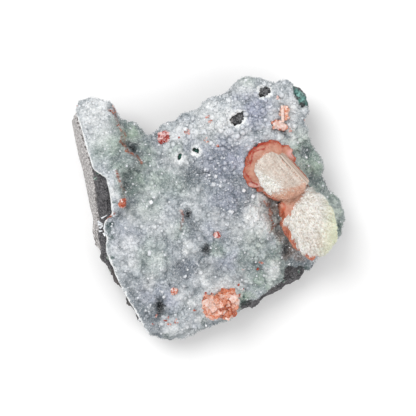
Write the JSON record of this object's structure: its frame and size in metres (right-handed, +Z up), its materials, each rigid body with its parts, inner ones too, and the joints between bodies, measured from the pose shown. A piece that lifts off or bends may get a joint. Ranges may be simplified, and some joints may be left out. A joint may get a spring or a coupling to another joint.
{
  "type": "mineral specimen",
  "caption": "Flat-based mineral plate: basalt under a lumpy chalcedony crust that carries red-rimmed sheaf crystals and small blocky red crystals.",
  "frame": {"origin": "centre of the bounding box, on the flat underside", "axes": "+Z up through the plate; +X towards the side that carries the sheaf crystals; +Y towards the edge with the left lobe and the notch"},
  "size_m": [0.1291, 0.1222, 0.0482],
  "materials": {
    "basalt": "dark fine-grained basalt, hackly where broken, light and speckled where sawn",
    "chalcedony": "glistening druse over round beads, grey-blue to lilac and green-grey",
    "sheaf_crystal": "cream to white with a pearly, finely ribbed top and translucent salmon to red-orange margins",
    "red_crystal": "translucent orange-red, glassy flat faces with paler edges"
  },
  "bodies": {
    "root": {"basalt_matrix": "basalt", "chalcedony_crust": "chalcedony", "sheaf_crystal_pair": "sheaf_crystal", "red_crystal_cluster": "red_crystal", "small_crystals_upper_left": "red_crystal", "small_crystals_lower": "red_crystal", "small_crystals_centre": "red_crystal", "small_crystals_right": "red_crystal", "small_crystals_mid_right": "red_crystal", "small_crystals_left": "red_crystal"}
  },
  "joints": []
}
